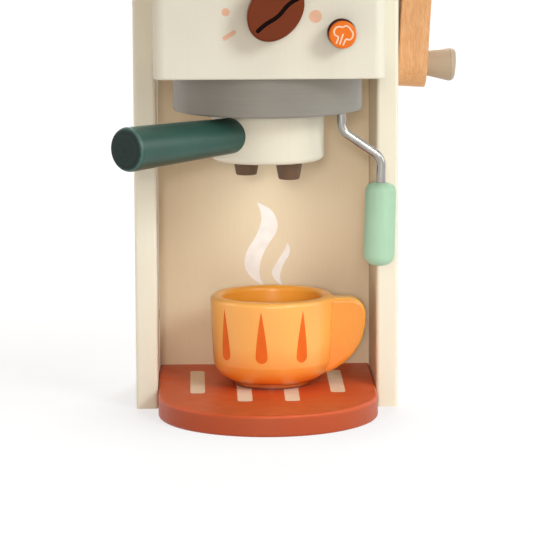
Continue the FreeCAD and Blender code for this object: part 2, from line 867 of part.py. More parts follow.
def belly_point():
    """The middle of the curve from foot to belly, which bulges outwards."""
    foot = Vector(cup_foot_radius, 0, cup_foot_height)
    belly = Vector(cup_belly_radius, 0, cup_belly_height)
    along = (belly - foot).normalize()
    return (foot + belly) * 0.5 + Vector(along.z, 0, -along.x) * cup_belly_bulge


def cup_outside():
    """The cup's outer form as a solid, without its hollow."""
    step = cup_foot_radius - cup_foot_step
    points = [
        Vector(0, 0, 0),
        Vector(cup_foot_radius, 0, 0),
        Vector(cup_foot_radius, 0, cup_foot_height - cup_foot_step),
        Vector(step, 0, cup_foot_height - cup_foot_step),
        Vector(step, 0, cup_foot_height),
        Vector(cup_foot_radius, 0, cup_foot_height)]
    belly = Vector(cup_belly_radius, 0, cup_belly_height)
    lip = Vector(cup_mouth_radius, 0, cup_height)
    edges = [Part.LineSegment(a, b).toShape() for a, b in zip(points, points[1:])]
    edges.append(Part.Arc(points[-1], belly_point(), belly).toShape())
    edges.append(Part.LineSegment(belly, lip).toShape())
    edges.append(Part.LineSegment(lip, Vector(0, 0, cup_height)).toShape())
    edges.append(Part.LineSegment(Vector(0, 0, cup_height), points[0]).toShape())
    solid = Part.Face(Part.Wire(edges)).revolve(Vector(0, 0, 0), UP, 360)
    return round_circle(solid, cup_mouth_radius, cup_height, cup_rim_round)


def cup_hollow():
    """The space inside the cup."""
    mouth = cup_mouth_radius - cup_wall
    hollow = Part.makeCone(mouth - cup_taper, mouth, cup_height - cup_floor, Vector(0, 0, cup_floor))
    return round_circle(hollow, mouth - cup_taper, cup_floor, cup_floor_round)


fin_dowel_heights = (fin_top - fin_corner, fin_top - fin_corner - fin_dowel_spacing)


def fin_pins(gap, relief):
    """The two dowels between cup and handle, or with a gap their holes."""
    pins = []
    for height in fin_dowel_heights:
        start = Vector(cup_mouth_radius - fin_dowel_bite - relief, 0, height)
        end = Vector(cup_mouth_radius - fin_dowel_bite + fin_dowel_length + relief, 0, height)
        pins.append(bar(fin_dowel_radius + gap, start, end))
    return Part.makeCompound(pins)


def cup_body():
    """The round cup."""
    cup = cup_outside().cut(cup_hollow())
    mouth = cup_mouth_radius - cup_wall
    cup = round_circle(cup, mouth, cup_height, cup_rim_round)
    cup = cup.cut(fin_pins(glue_gap, drill_relief))
    cup.translate(cup_base)
    return cup


def cup_handle():
    """The solid half-round handle, shaped at its root to the cup."""
    corner = Vector(fin_reach - fin_corner, 0, fin_top - fin_corner)
    sweep = Vector(fin_reach - fin_sweep, 0, fin_arc_height)
    inner = cup_foot_radius
    sweep_end = sweep - UP * fin_sweep
    edges = [
        Part.LineSegment(Vector(inner, 0, fin_top), corner + UP * fin_corner).toShape(),
        tangent_arc(corner, fin_corner, 90, 0),
        Part.LineSegment(corner + RIGHT * fin_corner, sweep + RIGHT * fin_sweep).toShape(),
        tangent_arc(sweep, fin_sweep, 0, -90),
        Part.LineSegment(sweep_end, Vector(inner, 0, fin_top)).toShape()]
    fin = Part.Face(Part.Wire(edges)).extrude(BACK * fin_thickness)
    fin.translate(BACK * (-fin_thickness / 2))
    sides = edges_in_plane(fin, 1, -fin_thickness / 2) + edges_in_plane(fin, 1, fin_thickness / 2)
    outer = [e for e in sides if e.BoundBox.XMax > inner + fin_thickness]
    fin = fin.makeFillet(fin_round, outer)
    fin = fin.cut(cup_outside()).cut(fin_pins(glue_gap, drill_relief))
    fin.translate(cup_base)
    return fin


def cup_handle_dowels():
    """The dowels inside the joint of cup and handle."""
    pins = fin_pins(0, 0)
    pins.translate(cup_base)
    return pins


filter_washer = end_washer(filter_washer_radius, axle_screw_radius, filter_axle_end, UP)
knob_end = on(knob_axis, BACK * knob_axle_end)
knob_screw_seat = knob_end + BACK * washer_thickness
stem_tip = on(button_axis, BACK * stem_end)
button_screw_seat = stem_tip + BACK * washer_thickness
crank_screw_seat = crank_axle_start + LEFT * washer_thickness
left_spout_place, right_spout_place = spout_places()

pieces = {
    "left_side_panel": side_panel(-1),
    "right_side_panel": side_panel(1),
    "back_panel": back_panel(),
    "drip_tray": drip_tray(),
    "head_left_cheek": head_cheek(-1),
    "head_right_cheek": head_cheek(1),
    "head_front_panel": head_front_panel(),
    "head_floor_board": head_floor_board(),
    "head_top_board": head_top_board(),
    "back_panel_dowels": back_pins,
    "cheek_dowels": cheek_pins,
    "front_panel_dowels": front_pins,
    "head_board_dowels": head_pins,
    "tray_dowels": tray_pins,
    "group_disc": group_disc(),
    "group_disc_screws": group_disc_screws(),
    "stop_pin": stop_pin(),
    "portafilter_cup": portafilter_cup(),
    "portafilter_handle": portafilter_handle(),
    "handle_dowel": handle_pin,
    "left_spout": spout(left_spout_place),
    "right_spout": spout(right_spout_place),
    "portafilter_axle": portafilter_axle(),
    "portafilter_washer": filter_washer,
    "portafilter_screw": screw(filter_screw_seat, UP, axle_screw_radius, axle_screw_length),
    "steam_rod": steam_rod(),
    "wand_grip": wand_grip(),
    "wand_washer": wand_washer(),
    "wand_collar": wand_collar(),
    "wand_collar_screw": wand_collar_screw(),
    "bean_knob": bean_knob(),
    "knob_axle": knob_axle(),
    "knob_washer": end_washer(knob_washer_radius, axle_screw_radius, knob_end, BACK),
    "knob_screw": screw(knob_screw_seat, BACK, axle_screw_radius, axle_screw_length),
    "button_cap": button_cap(),
    "button_stem": button_stem(),
    "button_spring": button_spring(),
    "button_washer": end_washer(button_washer_radius, small_screw_radius, stem_tip, BACK),
    "button_screw": screw(button_screw_seat, BACK, small_screw_radius, small_screw_length),
    "crank_arm": crank_arm(),
    "crank_spacer": crank_spacer_ring(),
    "crank_axle": crank_axle(),
    "crank_washer": end_washer(crank_washer_radius, axle_screw_radius, crank_axle_start, LEFT),
    "crank_screw": screw(crank_screw_seat, LEFT, axle_screw_radius, axle_screw_length),
    "crank_knob": crank_knob(),
    "crank_knob_screw": crank_knob_screw(),
    "cup_body": cup_body(),
    "cup_handle": cup_handle(),
    "cup_handle_dowels": cup_handle_dowels(),
}

for name, solid in pieces.items():
    solid.exportStep("parts/" + name + ".step")
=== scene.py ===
import bpy
import bmesh
import json
import math
from mathutils import Matrix, Vector


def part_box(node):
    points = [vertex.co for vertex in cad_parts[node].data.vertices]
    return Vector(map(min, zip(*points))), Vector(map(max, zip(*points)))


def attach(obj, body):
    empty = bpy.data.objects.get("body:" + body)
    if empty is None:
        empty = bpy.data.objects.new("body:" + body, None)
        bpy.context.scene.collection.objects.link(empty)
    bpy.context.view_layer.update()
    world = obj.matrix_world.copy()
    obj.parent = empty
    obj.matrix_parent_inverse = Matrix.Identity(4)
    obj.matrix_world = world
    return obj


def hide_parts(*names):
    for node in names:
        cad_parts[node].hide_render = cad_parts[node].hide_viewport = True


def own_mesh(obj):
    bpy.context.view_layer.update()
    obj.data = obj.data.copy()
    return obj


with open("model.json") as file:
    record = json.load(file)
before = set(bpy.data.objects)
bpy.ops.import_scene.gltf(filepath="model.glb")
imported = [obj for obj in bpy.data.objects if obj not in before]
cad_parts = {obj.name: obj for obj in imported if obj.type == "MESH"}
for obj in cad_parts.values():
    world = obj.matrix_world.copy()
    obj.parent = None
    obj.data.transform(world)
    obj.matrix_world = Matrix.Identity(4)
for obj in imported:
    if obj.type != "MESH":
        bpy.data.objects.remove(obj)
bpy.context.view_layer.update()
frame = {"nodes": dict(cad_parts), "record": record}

# A painted wooden toy coffee maker. Places are in metres, in the frame of the solids, and
# numbers that are multiplied by MM are in millimetres.
MM = 0.001
RIGHT = Vector((1, 0, 0))
BACK = Vector((0, 1, 0))
FRONT = Vector((0, -1, 0))
UP = Vector((0, 0, 1))
scene = bpy.context.scene

# Camera, as fitted to the edges of boards, disc, tray and filter holder
CAMERA_PLACE = Vector((-38.5, -1728.4, 349.2)) * MM
CAMERA_YAW = 0.0222
CAMERA_PITCH = 0.1552
CAMERA_ROLL = -0.0046
CAMERA_SENSOR = 36.0
CAMERA_LENS = 216.1
CAMERA_REACH = 20.0

# Colours, as red, green and blue from 0 to 255
CREAM = (231, 225, 208)
# The left and right panel creams are painted light and painted shade on one paint; the back's
# warmer cream is painted warm shade inside the bay.
LEFT_CREAM_PAINTED_LIGHT = (245, 238, 219)
RIGHT_CREAM_PAINTED_SHADE = (236, 229, 209)
BACK_CREAM_PAINTED_SHADE = (236, 221, 192)
FILTER_CREAM = (225, 218, 200)
# The tray's lighter top tone and darker side tone are painted light and painted shade.
RED = (216, 92, 45)
RED_SIDE_PAINTED_SHADE = (184, 80, 42)
GREY = (138, 133, 125)
GREEN = (40, 78, 69)
# A painted highlight round the rounded edge of the handle's end.
GREEN_PAINTED_HIGHLIGHT = (98, 132, 120)
SPOUT_BROWN = (96, 72, 52)
BEAN_BROWN = (114, 47, 14)
GROOVE_BROWN = (22, 10, 8)
ORANGE = (236, 116, 28)
RUST = (72, 22, 12)
MINT = (166, 201, 172)
BEECH = (222, 168, 116)
BEECH_DARK = (200, 136, 84)
RAW_BEECH = (216, 172, 126)
RAW_BEECH_DARK = (176, 126, 84)
BEIGE = (190, 168, 143)
YELLOW = (255, 182, 88)
FIN_YELLOW = (236, 150, 42)
# A painted highlight along the edge of the cup's handle.
FIN_EDGE_HIGHLIGHT = (255, 194, 96)
# Painted light on the cup's inner wall, then painted warm bounce, painted shade and a painted
# contact shadow low on the cup.
INNER_ORANGE_PAINTED_LIGHT = (255, 176, 64)
YELLOW_LOW_PAINTED_BOUNCE = (240, 130, 36)
YELLOW_FOOT_PAINTED_SHADE = (178, 76, 16)
CONTACT_SHADOW_BROWN = (74, 30, 14)
DROP_ORANGE = (233, 104, 12)
PEACH = (234, 184, 154)
STRIPE_CREAM = (250, 233, 208)
STEAM_WHITE = (248, 246, 244)
ICON_PINK = (248, 210, 184)
ZINC = (176, 178, 180)
CHROME = (158, 155, 150)
STEEL = (150, 150, 152)
WHITE = (255, 255, 255)
FLOOR_DARK = (236, 236, 236)
FLOOR_LIGHT = (240, 240, 240)

# The cup's foot on the tray, and its straight wall as heights over that and radii
CUP_AXIS = Vector((3.0, 11.0, 11.8)) * MM
BELLY_HEIGHT, BELLY_RADIUS = 13.5, 32.3
RIM_HEIGHT, RIM_RADIUS = 50.0, 34.0

# The bean's middle, half sizes and tilt
BEAN_MIDDLE = Vector((3.0, 0.0, 226.0)) * MM
BEAN_HALF_LENGTH = 17.1 * MM
BEAN_HALF_WIDTH = 13.05 * MM
BEAN_TILT = math.radians(53)

# The way the filter holder's handle points
HANDLE_TURN = math.radians(42)
HANDLE_WAY = Vector((-math.sin(HANDLE_TURN), -math.cos(HANDLE_TURN), 0))

# Where the faces of some nodes lie
tray_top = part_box("drip_tray")[1].z
fin_middle = (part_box("cup_handle")[0].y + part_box("cup_handle")[1].y) / 2
fin_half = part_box("cup_handle")[1].y - fin_middle
bean_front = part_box("bean_knob")[0].y
button_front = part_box("button_cap")[0].y
knob_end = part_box("crank_knob")[1].x
head_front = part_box("head_front_panel")[0].y
back_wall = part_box("back_panel")[0].y


# Materials

SRGB_KNEE, SRGB_SLOPE, SRGB_SHIFT, SRGB_POWER = 0.04045, 12.92, 0.055, 2.4
NOISE = (0.3, 0.7)                    # most noise lies between these values


def linear(tone):
    """A colour from 0 to 255 as the linear colour that a shader takes."""
    def channel(value):
        share = value / 255
        if share <= SRGB_KNEE:
            return share / SRGB_SLOPE
        return ((share + SRGB_SHIFT) / (1 + SRGB_SHIFT)) ** SRGB_POWER
    return (*[channel(value) for value in tone], 1.0)


def shaded(tone, factor):
    """A colour made lighter or darker."""
    return tuple(min(255, value * factor) for value in tone)


class Finish:
    """A material, with the patterns that drive its shader."""

    def __init__(self, name):
        self.material = bpy.data.materials.new(name)
        self.material.use_nodes = True
        self.tree = self.material.node_tree
        self.shader = self.tree.nodes["Principled BSDF"]
        self.place = self.add("ShaderNodeTexCoord").outputs["Object"]

    def add(self, kind, inputs=None, **settings):
        """A node, with its settings and with its inputs as values or as links."""
        node = self.tree.nodes.new(kind)
        for name, value in settings.items():
            setattr(node, name, value)
        for key, value in (inputs or {}).items():
            if isinstance(value, bpy.types.NodeSocket):
                self.tree.links.new(value, node.inputs[key])
            else:
                node.inputs[key].default_value = value
        return node

    def set(self, **values):
        """Uniform values on the shader's own sockets."""
        for name, value in values.items():
            self.shader.inputs[name.replace("_", " ")].default_value = value

    def axis(self, name):
        """One of the piece's own coordinates."""
        return self.add("ShaderNodeSeparateXYZ", {0: self.place}).outputs[name]

    def vectors(self, operation, *values):
        """Vectors put together into a vector."""
        node = self.add("ShaderNodeVectorMath", dict(enumerate(values)), operation=operation)
        return node.outputs["Vector"]

    def measure(self, operation, *values):
        """Vectors put together into one value."""
        node = self.add("ShaderNodeVectorMath", dict(enumerate(values)), operation=operation)
        return node.outputs["Value"]

    def stretched(self, stretch):
        """The piece's own coordinates, scaled along its three axes."""
        return self.add("ShaderNodeMapping", {"Vector": self.place, "Scale": stretch}).outputs[0]

    def noise(self, size, stretch=(1, 1, 1), detail=3.0, offset=0.0):
        """Soft noise from 0 to 1, whose features are about this size in millimetres."""
        vector = self.stretched(stretch)
        if offset:
            vector = self.vectors("ADD", vector, (offset, offset, offset))
        inputs = {"Vector": vector, "Scale": 1 / (size * MM), "Detail": detail}
        return self.add("ShaderNodeTexNoise", inputs).outputs["Fac"]

    def cells(self, size, stretch):
        """The distance to the nearest of many scattered points, this many millimetres apart."""
        inputs = {"Vector": self.stretched(stretch), "Scale": 1 / (size * MM)}
        return self.add("ShaderNodeTexVoronoi", inputs).outputs["Distance"]

    def levels(self, value, low, high, out_low=0.0, out_high=1.0):
        """A value stretched from one range to another, and held within it."""
        inputs = {"Value": value, 1: low, 2: high, 3: out_low, 4: out_high}
        return self.add("ShaderNodeMapRange", inputs, clamp=True).outputs[0]

    def drift(self, size, out_low=0.0, out_high=1.0, offset=0.0):
        """Soft noise stretched to a range."""
        return self.levels(self.noise(size, offset=offset), *NOISE, out_low, out_high)

    def rise(self, value, start, band, strength=1.0):
        """A mask that rises across a band, in millimetres from a start in metres."""
        return self.levels(value, start + band[0] * MM, start + band[1] * MM, 0.0, strength)

    def fall(self, value, start, band, strength=1.0):
        """A mask that falls across a band, in millimetres from a start in metres."""
        return self.levels(value, start + band[0] * MM, start + band[1] * MM, strength, 0.0)

    def math(self, operation, first, second=0.0):
        """Two values put together."""
        return self.add("ShaderNodeMath", {0: first, 1: second}, operation=operation).outputs[0]

    def mix(self, factor, first, second):
        """Two colours mixed by a value."""
        colours = []
        for colour in (first, second):
            colours.append(linear(colour) if isinstance(colour, tuple) else colour)
        inputs = {0: factor, 6: colours[0], 7: colours[1]}
        return self.add("ShaderNodeMix", inputs, data_type="RGBA").outputs[2]

    def colour(self, source):
        """A colour pattern as the paint's colour."""
        self.tree.links.new(source, self.shader.inputs["Base Color"])

    def painted_base(self):
        """The colour pattern so far."""
        return self.shader.inputs["Base Color"].links[0].from_socket

    def paint_over(self, mask, tone):
        """Another colour over the pattern so far, where the mask is."""
        self.colour(self.mix(mask, self.painted_base(), tone))

    def roughness(self, source):
        """A pattern as the roughness."""
        self.tree.links.new(source, self.shader.inputs["Roughness"])

    def bump(self, height, depth):
        """A bump whose height of 1 stands for this many millimetres."""
        inputs = {"Height": height, "Distance": depth * MM, "Strength": 1.0}
        bump = self.add("ShaderNodeBump", inputs)
        self.tree.links.new(bump.outputs[0], self.shader.inputs["Normal"])


# How far noise is drawn out along each axis to look like grain, or round a piece to look turned
ALONG = {"x": (0.04, 1, 1), "y": (1, 0.04, 1), "z": (1, 1, 0.04), "round_z": (0.03, 0.03, 1.5)}

# Paint: how strong each mark is, and how far it darkens the paint
SPECK_NOISE, SPECK_STRENGTH, SPECK_SHADE = (0.74, 0.82), 0.3, 0.82
GRAIN_NOISE, GRAIN_SHADE, GRAIN_HEIGHT = (0.4, 0.75), 0.92, 1.5
PEEL_HEIGHT = 0.5
PIT_CELLS, PIT_PATCHES, PIT_SHADE, PIT_HEIGHT = (0.06, 0.2), (0.5, 0.62), 0.6, 3
PAINT_GLOSS_BELOW, PAINT_GLOSS_ABOVE = 0.05, 0.07
PAINT_BUMP = 0.02
PAINT_SPECULAR = 0.3


def painted(name, tone, grain="z", gloss=0.4, pits=0.0, cloud=0.02, lines=0.3):
    """Satin paint: faint clouds, dust specks, brush texture and the grain that shows through."""
    finish = Finish(name)
    base = finish.mix(finish.drift(38), shaded(tone, 1 - cloud), shaded(tone, 1 + cloud))
    specks = finish.levels(finish.noise(0.8, detail=1), *SPECK_NOISE, 0.0, SPECK_STRENGTH)
    base = finish.mix(specks, base, shaded(tone, SPECK_SHADE))
    grain_lines = finish.noise(1.1, ALONG[grain], detail=4)
    line_mask = finish.levels(grain_lines, *GRAIN_NOISE, 0.0, lines)
    base = finish.mix(line_mask, base, shaded(tone, GRAIN_SHADE))
    orange_peel = finish.noise(1.4, detail=2, offset=3.7)
    height = finish.math("ADD", finish.math("MULTIPLY", orange_peel, PEEL_HEIGHT),
                         finish.math("MULTIPLY", grain_lines, lines * GRAIN_HEIGHT))
    if pits:
        holes = finish.levels(finish.cells(0.9, ALONG[grain]), *PIT_CELLS)
        scatter = finish.levels(finish.noise(5, offset=8.1), *PIT_PATCHES)
        hole_mask = finish.math("MULTIPLY", finish.math("SUBTRACT", 1.0, holes), scatter)
        base = finish.mix(finish.math("MULTIPLY", hole_mask, pits), base, shaded(tone, PIT_SHADE))
        sunk = finish.math("MULTIPLY", hole_mask, pits * PIT_HEIGHT)
        height = finish.math("SUBTRACT", height, sunk)
    finish.colour(base)
    finish.roughness(finish.drift(9, gloss - PAINT_GLOSS_BELOW, gloss + PAINT_GLOSS_ABOVE,
                                  offset=1.3))
    finish.bump(height, PAINT_BUMP)
    finish.set(Specular_IOR_Level=PAINT_SPECULAR)
    return finish


# Beech: how strong the bands, streaks and flecks are
BAND_NOISE, BAND_STRENGTH = (0.36, 0.66), 0.3
STREAK_NOISE, STREAK_STRENGTH, STREAK_SHORTER = (0.46, 0.6), 0.5, 3.2
FLECK_CELLS, FLECK_STRENGTH, FLECK_SHADE, FLECK_HEIGHT = (0.05, 0.17), 0.55, 0.8, 0.8
BEECH_ROUGH = (0.44, 0.6)
BEECH_BUMP = 0.03


def beech(name, light, dark):
    """Bare beech: soft growth bands along the grain, with short dark flecks."""
    finish = Finish(name)
    bands = finish.levels(finish.noise(4.5, ALONG["z"], detail=5), *BAND_NOISE)
    base = finish.mix(bands, light, finish.mix(BAND_STRENGTH, light, dark))
    short = tuple(value * STREAK_SHORTER if value < 1 else value for value in ALONG["z"])
    streaks = finish.noise(0.75, short, detail=3, offset=2.2)
    base = finish.mix(finish.levels(streaks, *STREAK_NOISE, 0.0, STREAK_STRENGTH), base, dark)
    flecks = finish.levels(finish.cells(1.3, short), *FLECK_CELLS, FLECK_STRENGTH, 0.0)
    finish.colour(finish.mix(flecks, base, shaded(dark, FLECK_SHADE)))
    finish.roughness(finish.levels(streaks, *NOISE, *BEECH_ROUGH))
    sunk = finish.math("MULTIPLY", flecks, FLECK_HEIGHT)
    finish.bump(finish.math("SUBTRACT", streaks, sunk), BEECH_BUMP)
    return finish


# Metal: how far clouds change its tone, and scratches its roughness
METAL_DARK, METAL_LIGHT = 0.94, 1.04
SCRATCH_NOISE, SMOOTHEST, ROUGHEST = (0.35, 0.7), 0.7, 1.5
METAL_BUMP = 0.003


def metal(name, tone, gloss):
    """Plated or drawn metal, with faint scratches and cloudy shine."""
    finish = Finish(name)
    finish.colour(finish.mix(finish.drift(6), shaded(tone, METAL_DARK), shaded(tone, METAL_LIGHT)))
    scratches = finish.noise(0.35, detail=2, offset=5.3)
    finish.roughness(finish.levels(scratches, *SCRATCH_NOISE, gloss * SMOOTHEST, gloss * ROUGHEST))
    finish.bump(scratches, METAL_BUMP)
    finish.set(Metallic=1.0)
    return finish


# Ink: how far clouds and pinholes change its tone
INK_DARK, INK_LIGHT = 0.975, 1.02
PINHOLE_NOISE, PINHOLE_STRENGTH, PINHOLE_SHADE = (0.7, 0.78), 0.4, 0.86
INK_ROUGH = (0.42, 0.56)
INK_BUMP = 0.008


def ink(name, tone):
    """Screen-printed ink: a thin film with fine pinholes and a slightly uneven shine."""
    finish = Finish(name)
    base = finish.mix(finish.drift(7), shaded(tone, INK_DARK), shaded(tone, INK_LIGHT))
    pinholes = finish.noise(0.5, detail=1, offset=4.4)
    pinholes = finish.levels(pinholes, *PINHOLE_NOISE, 0.0, PINHOLE_STRENGTH)
    finish.colour(finish.mix(pinholes, base, shaded(tone, PINHOLE_SHADE)))
    finish.roughness(finish.drift(2.5, *INK_ROUGH))
    finish.bump(finish.noise(0.45, detail=2), INK_BUMP)
    finish.set(Specular_IOR_Level=PAINT_SPECULAR)
    return finish


def glossy(finish, coat, coat_roughness):
    """Clear lacquer over the paint."""
    finish.set(Coat_Weight=coat, Coat_Roughness=coat_roughness)
    return finish


GROOVE_EDGE = (0.91, 0.93)            # as a share of the way from the bean's middle to its edge
GROOVE_DEPTH = (0.1, 0.3)             # behind the bean's front
GROOVE_ROUGH = (0.36, 0.95)           # outside and inside the groove
GROOVE_SPECULAR = 0.12


def bean(name):
    """Dark satin paint, and a darker groove that winds down the bean."""
    finish = painted(name, BEAN_BROWN, grain="y", gloss=0.34, cloud=0.05)
    own = {"Vector": finish.place, "Location": BEAN_MIDDLE, "Rotation": (0, -BEAN_TILT, 0),
           "Scale": (BEAN_HALF_LENGTH, 1, BEAN_HALF_WIDTH)}
    spot = finish.add("ShaderNodeMapping", own, vector_type="TEXTURE").outputs[0]
    from_middle = finish.measure("LENGTH", finish.vectors("MULTIPLY", spot, (1, 0, 1)))
    inside = finish.levels(from_middle, *GROOVE_EDGE, 1.0, 0.0)
    sunk = finish.rise(finish.axis("Y"), bean_front, GROOVE_DEPTH)
    groove = finish.math("MULTIPLY", inside, sunk)
    finish.paint_over(groove, GROOVE_BROWN)
    finish.roughness(finish.levels(groove, 0.0, 1.0, *GROOVE_ROUGH))
    finish.set(Specular_IOR_Level=GROOVE_SPECULAR)
    return finish


STAIN_EDGE = (0.95, 1.1)              # behind the button's face
STAIN_DRIFT = 0.05 * MM
STAIN_ROUGH = (0.38, 0.95)            # on the face and on the side
STAIN_SPECULAR = 0.15


def button(name):
    """Orange paint on the face, over a cap that is stained dark on its side."""
    finish = painted(name, ORANGE, grain="y", gloss=0.36, cloud=0.04)
    edge = finish.math("ADD", finish.axis("Y"), finish.drift(1.5, -STAIN_DRIFT, STAIN_DRIFT))
    side = finish.rise(edge, button_front, STAIN_EDGE)
    finish.paint_over(side, RUST)
    finish.roughness(finish.levels(side, 0.0, 1.0, *STAIN_ROUGH))
    finish.set(Specular_IOR_Level=STAIN_SPECULAR)
    return finish


# The band of painted shade down the tray's side
SHADED_SIDE_BAND = (-2.4, -0.6)              # from the tray's top


def tray_paint(name):
    """Brick red paint, lighter on the top as painted light and darker down the side as painted
    shade, for light that falls from above.
    """
    finish = painted(name, RED, grain="x", gloss=0.4, cloud=0.04)
    # Painted shade down the tray's side.
    finish.paint_over(finish.fall(finish.axis("Z"), tray_top, SHADED_SIDE_BAND), RED_SIDE_PAINTED_SHADE)
    return finish


# Cup: heights over the floor where its darker bands end (painted warm bounce from the tray low
# down, painted shade on the foot and a painted contact shadow at the tray), the inner wall's radius
# within which painted light lies, and its lacquer
LOW_BAND, LOW_STRENGTH, LOW_DRIFT = (18, 36), 0.85, 1.5 * MM
FOOT_BAND, FOOT_STRENGTH = (12, 17), 0.9
CONTACT_SHADOW_BAND, CONTACT_SHADOW_STRENGTH = (12.2, 13.4), 0.85
INNER_WALL = (29.5, 31)
# Where the painted highlight lies along the edge of the cup's handle
FIN_HIGHLIGHT_BAND = (-1.2, -0.2)              # from the side of the cup's handle
CUP_COAT, CUP_COAT_ROUGH, FIN_COAT_ROUGH = 0.6, 0.28, 0.14


def cup_paint(name, tone, edge=None):
    """Glossy yellow that deepens to orange towards the foot as painted warm bounce and painted
    shade, with a painted contact shadow at the tray, painted light on the inner wall, and a painted
    highlight along the edge of the cup's handle.
    """
    finish = painted(name, tone, gloss=0.36, lines=0.15)
    glossy(finish, CUP_COAT, FIN_COAT_ROUGH if edge else CUP_COAT_ROUGH)
    height = finish.axis("Z")
    drift = finish.drift(14, -LOW_DRIFT, LOW_DRIFT, offset=6.2)
    # Painted warm bounce from the tray low on the cup, painted shade on the foot and a painted
    # contact shadow at the tray.
    low = finish.fall(finish.math("ADD", height, drift), 0, LOW_BAND, LOW_STRENGTH)
    foot = finish.fall(height, 0, FOOT_BAND, FOOT_STRENGTH)
    contact_shadow = finish.fall(height, 0, CONTACT_SHADOW_BAND, CONTACT_SHADOW_STRENGTH)
    middle = finish.vectors("SUBTRACT", finish.place, CUP_AXIS)
    radius = finish.measure("LENGTH", finish.vectors("MULTIPLY", middle, (1, 1, 0)))
    # Painted light on the cup's inner wall.
    base = finish.mix(finish.fall(radius, 0, INNER_WALL), finish.painted_base(), INNER_ORANGE_PAINTED_LIGHT)
    # A painted highlight along the rounded edge of the cup's handle.
    if edge:
        from_middle = finish.math("SUBTRACT", finish.axis("Y"), fin_middle)
        from_middle = finish.math("ABSOLUTE", from_middle)
        base = finish.mix(finish.fall(from_middle, fin_half, FIN_HIGHLIGHT_BAND), base, edge)
    painted_shade = finish.mix(foot, finish.mix(low, base, YELLOW_LOW_PAINTED_BOUNCE), YELLOW_FOOT_PAINTED_SHADE)
    finish.colour(finish.mix(contact_shadow, painted_shade, CONTACT_SHADOW_BROWN))
    return finish


# Handle: bands along it, from its end, and rings round the middle of the end
END_BAND, END_DRIFT = (-1.6, -0.3), 0.15 * MM
# The lighter band round the end's rounded edge is a painted highlight.
HIGHLIGHT_START, HIGHLIGHT_END, HIGHLIGHT_STRENGTH = (-2.4, -1.5), (-1.1, -0.6), 0.35
RING_SIZE = 1.6
RING_DARK, RING_LIGHT = 0.4, 0.62
PITH_BAND, PITH_STRENGTH, PITH_SHADE = (0.6, 3.5), 0.6, 0.25
END_ROUGH = (0.36, 0.8)               # on the body and on the end
HANDLE_SPECULAR = 0.4
TIP_SLICE = 0.05 * MM


def handle_paint(name):
    """Green stain, darker on the end from the end grain and from painted shade, with a painted
    highlight round the end's rounded edge.
    """
    points = [vertex.co for vertex in frame["nodes"]["portafilter_handle"].data.vertices]
    handle_end = max(point.dot(HANDLE_WAY) for point in points)
    end_points = [point for point in points if point.dot(HANDLE_WAY) > handle_end - TIP_SLICE]
    handle_tip = sum(end_points, Vector()) / len(end_points)
    finish = painted(name, GREEN, grain="x", gloss=0.34, pits=0.25, cloud=0.08, lines=0.8)
    along = finish.measure("DOT_PRODUCT", finish.place, HANDLE_WAY)
    reach = finish.math("ADD", along, finish.drift(3, -END_DRIFT, END_DRIFT, offset=2.6))
    end = finish.rise(reach, handle_end, END_BAND)
    # A painted highlight round the end's rounded edge.
    edge = finish.math("MULTIPLY", finish.rise(reach, handle_end, HIGHLIGHT_START),
                       finish.fall(reach, handle_end, HIGHLIGHT_END, HIGHLIGHT_STRENGTH))
    from_tip = finish.measure("DISTANCE", finish.place, handle_tip)
    away = finish.math("MULTIPLY", from_tip, 1 / (RING_SIZE * MM))
    rings = finish.add("ShaderNodeTexNoise", {"W": away, "Scale": 1.0, "Detail": 2.0},
                       noise_dimensions="1D").outputs["Fac"]
    # The end face is darker than the body: end grain, and painted shade.
    face = finish.mix(finish.levels(rings, *NOISE), shaded(GREEN, RING_DARK),
                      shaded(GREEN, RING_LIGHT))
    pith = finish.fall(from_tip, 0, PITH_BAND, PITH_STRENGTH)
    face = finish.mix(pith, face, shaded(GREEN, PITH_SHADE))
    finish.colour(finish.mix(edge, finish.mix(end, finish.painted_base(), face), GREEN_PAINTED_HIGHLIGHT))
    finish.set(Specular_IOR_Level=HANDLE_SPECULAR)
    finish.roughness(finish.levels(end, 0.0, 1.0, *END_ROUGH))
    return finish


TURNED_LINE_PLACE = 3.2 * MM          # from the crank knob's outer end
TURNED_LINE, TURNED_LINE_STRENGTH, TURNED_LINE_SHADE = (0.1, 0.4), 0.45, 0.72


def turned_knob(name):
    """Beige paint with a fine turned line round the outer end."""
    finish = painted(name, BEIGE, grain="x", gloss=0.45, pits=0.35, cloud=0.05)
    away = finish.math("SUBTRACT", finish.axis("X"), knob_end - TURNED_LINE_PLACE)
    line = finish.fall(finish.math("ABSOLUTE", away), 0, TURNED_LINE, TURNED_LINE_STRENGTH)
    finish.paint_over(line, shaded(BEIGE, TURNED_LINE_SHADE))
    return finish


BOARD = {"gloss": 0.56, "cloud": 0.008, "lines": 0.1}
finishes = {
    "cream": painted("cream", CREAM, **BOARD),
    "tray_red": tray_paint("tray_red"),
    "disc_grey": painted("disc_grey", GREY, grain="round_z", gloss=0.42, cloud=0.04, lines=0.5),
    "filter_cream": painted("filter_cream", FILTER_CREAM, gloss=0.4, cloud=0.008, lines=0.1),
    "handle_green": handle_paint("handle_green"),
    "spout_brown": painted("spout_brown", SPOUT_BROWN, gloss=0.4, pits=0.2, cloud=0.06),
    "bean_brown": bean("bean_brown"),
    "button_orange": button("button_orange"),
    "mint": painted("mint", MINT, gloss=0.45, pits=0.5, cloud=0.04),
    "beech": beech("beech", BEECH, BEECH_DARK),
    "knob_beige": turned_knob("knob_beige"),
    "cup_yellow": cup_paint("cup_yellow", YELLOW),
    "raw_beech": beech("raw_beech", RAW_BEECH, RAW_BEECH_DARK),
    "zinc": metal("zinc", ZINC, 0.34),
    "spring_steel": metal("spring_steel", STEEL, 0.28),
    "chromed_steel": metal("chromed_steel", CHROME, 0.2),
}

